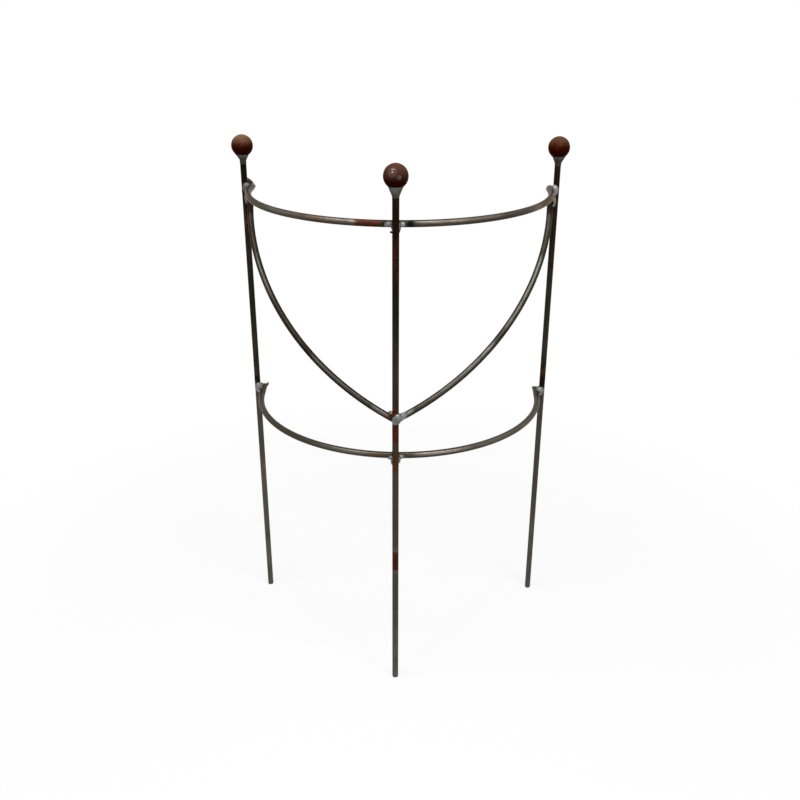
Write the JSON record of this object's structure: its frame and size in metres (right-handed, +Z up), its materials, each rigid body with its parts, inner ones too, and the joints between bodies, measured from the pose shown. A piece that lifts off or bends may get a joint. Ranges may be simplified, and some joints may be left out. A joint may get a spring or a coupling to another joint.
{
  "type": "plant support",
  "caption": "Half-round garden plant support of welded round steel bar: stakes with ball tops, rolled half hoops and swag bars that meet in a V.",
  "frame": {"origin": "on the ground under the middle of the part's box", "axes": "+Z up along the stakes, +X to the right, -Y to the front stake; the half hoops are open towards +Y"},
  "size_m": [0.4364, 0.2426, 0.6934],
  "materials": {
    "bar_steel": "raw hot-rolled bar, dark mill scale with rust and heat tint",
    "ball_steel": "satin, reddish-brown rust bloom",
    "weld_metal": "bare weld metal, silvery grey with slag"
  },
  "bodies": {
    "root": {"front_stake": "bar_steel", "left_stake": "bar_steel", "right_stake": "bar_steel", "front_ball": "ball_steel", "left_ball": "ball_steel", "right_ball": "ball_steel", "front_ball_weld": "weld_metal", "left_ball_weld": "weld_metal", "right_ball_weld": "weld_metal", "upper_hoop": "bar_steel", "lower_hoop": "bar_steel", "upper_hoop_front_weld": "weld_metal", "upper_hoop_left_weld": "weld_metal", "upper_hoop_right_weld": "weld_metal", "lower_hoop_front_weld": "weld_metal", "lower_hoop_left_weld": "weld_metal", "lower_hoop_right_weld": "weld_metal", "left_swag": "bar_steel", "right_swag": "bar_steel", "left_swag_top_weld": "weld_metal", "right_swag_top_weld": "weld_metal", "left_swag_foot_weld": "weld_metal", "right_swag_foot_weld": "weld_metal"}
  },
  "joints": []
}
